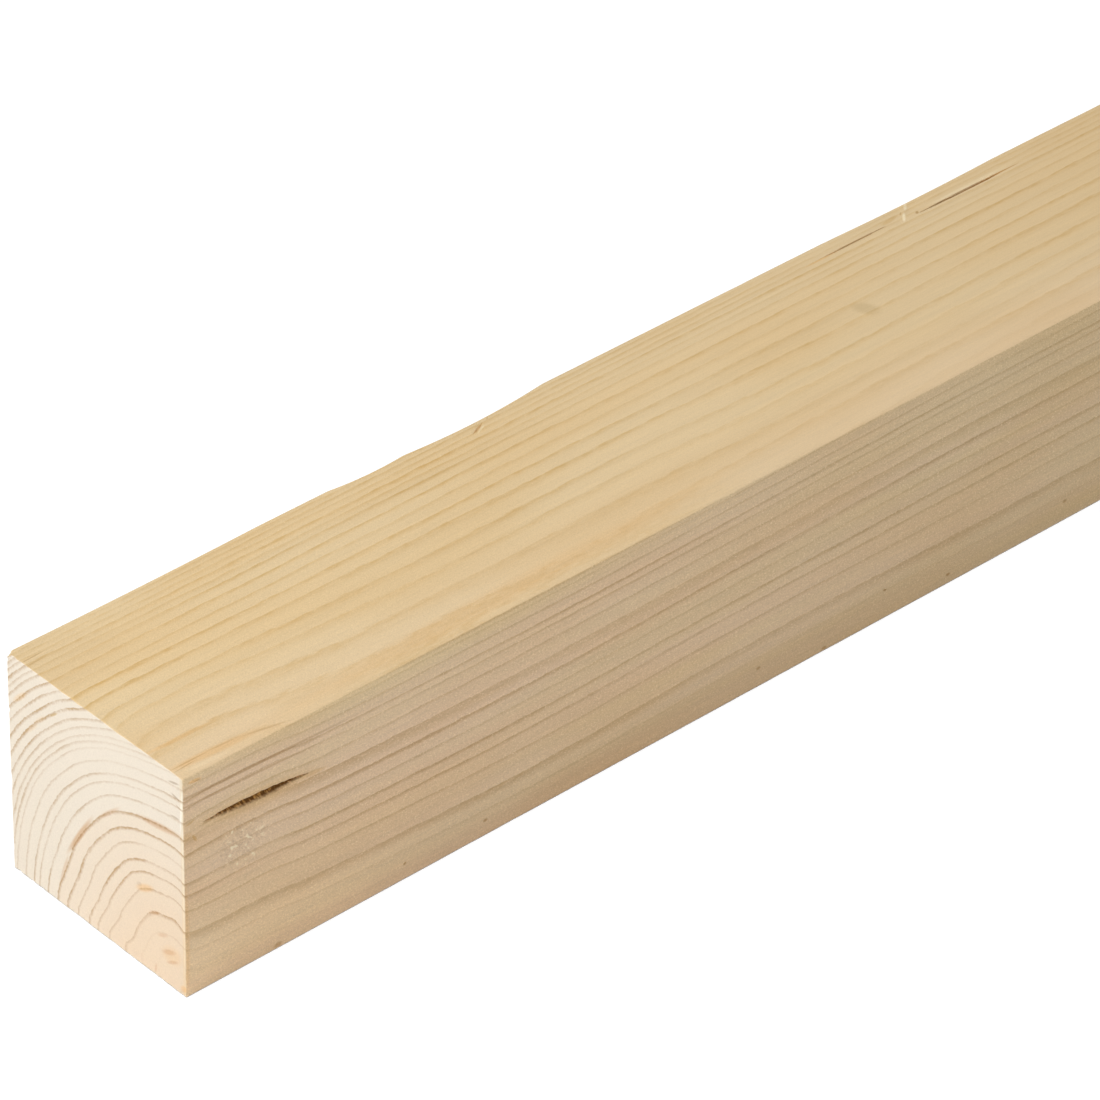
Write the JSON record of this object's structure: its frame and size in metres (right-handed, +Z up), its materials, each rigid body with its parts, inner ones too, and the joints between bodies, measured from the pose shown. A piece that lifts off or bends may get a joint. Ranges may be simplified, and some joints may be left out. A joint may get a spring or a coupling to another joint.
{
  "type": "timber plank",
  "caption": "Length of planed square-section softwood timber with eased long arrises and square-cut ends, used as a batten, post, rail or framing member.",
  "frame": {"origin": "centre of the underside, halfway along the length", "axes": "+Y along the length, away from the end that carries the resin pocket; +Z up through the section; +X across it, out of the long face with the resin pocket"},
  "size_m": [0.044, 1.8, 0.044],
  "materials": {
    "planed_softwood": "planed, untreated, matt"
  },
  "bodies": {
    "root": {"plank": "planed_softwood"}
  },
  "joints": []
}
